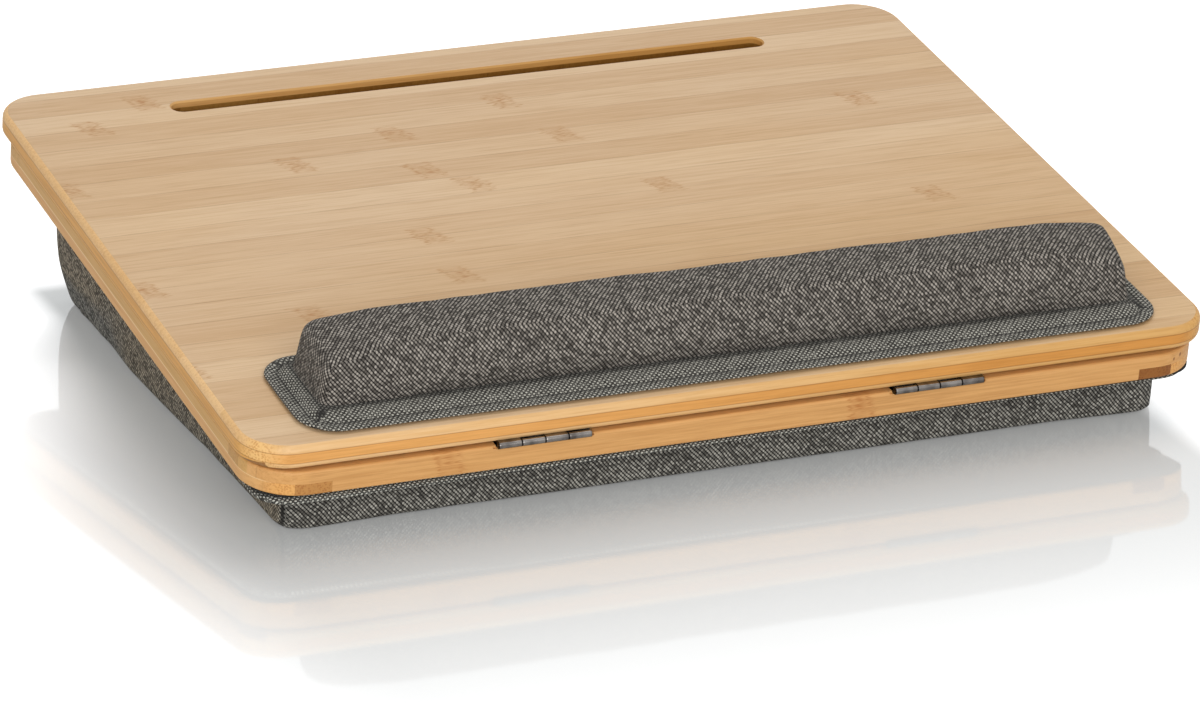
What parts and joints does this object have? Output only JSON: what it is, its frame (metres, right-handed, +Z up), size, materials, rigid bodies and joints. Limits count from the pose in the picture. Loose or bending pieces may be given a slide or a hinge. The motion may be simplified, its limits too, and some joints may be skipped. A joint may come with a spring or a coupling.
{
  "type": "lap desk with lift lid",
  "caption": "Wedge-cushioned lap desk: a bamboo lid with a tablet slot and a padded wrist rest, hinged at the front over a shallow storage frame.",
  "frame": {"origin": "on the table under the middle of the lid, halfway along the flat of the cushion's underside", "axes": "+X to the user's right along the hinges, +Y away from the user, +Z up"},
  "size_m": [0.53, 0.414, 0.1079],
  "materials": {
    "bamboo": "satin lacquer",
    "hinge_steel": "nickel plated",
    "screw_steel": "nickel plated",
    "bumper_rubber": "matte",
    "floor_board": "satin",
    "tape": "matte",
    "stiffener": "matte",
    "webbing": "plain weave",
    "heather_cloth": "heather weave",
    "foam": "matte",
    "bead_filling": "matte"
  },
  "bodies": {
    "base": {"frame_front_rail": "bamboo", "frame_rear_rail": "bamboo", "frame_left_rail": "bamboo", "frame_right_rail": "bamboo", "left_hinge_frame_leaf": "hinge_steel", "left_hinge_pin": "hinge_steel", "right_hinge_frame_leaf": "hinge_steel", "right_hinge_pin": "hinge_steel", "frame_hinge_screws": "screw_steel", "storage_floor_screws": "screw_steel", "lid_bumpers": "bumper_rubber", "storage_floor": "floor_board", "cushion_sheet": "webbing", "cushion_hem": "webbing", "cushion_cover": "heather_cloth", "cushion_filling": "bead_filling"},
    "lid": {"lid_board": "bamboo", "left_hinge_lid_leaf": "hinge_steel", "right_hinge_lid_leaf": "hinge_steel", "lid_hinge_screws": "screw_steel", "hook_tapes": "tape"},
    "wrist_rest": {"loop_tapes": "tape", "wrist_rest_base": "stiffener", "wrist_rest_border": "webbing", "wrist_rest_cover": "heather_cloth", "wrist_rest_foam": "foam"}
  },
  "joints": [
    {"name": "lid_hinge", "type": "hinge", "parent": "base", "child": "lid", "pos_m": [0, -0.19956, 0.04211], "axis": [1, 0, 0], "range_deg": [0, 110]},
    {"name": "wrist_rest_lift", "type": "slide", "parent": "lid", "child": "wrist_rest", "axis": [0, -0.1262, 0.992], "range_m": [0, 0.06]}
  ]
}
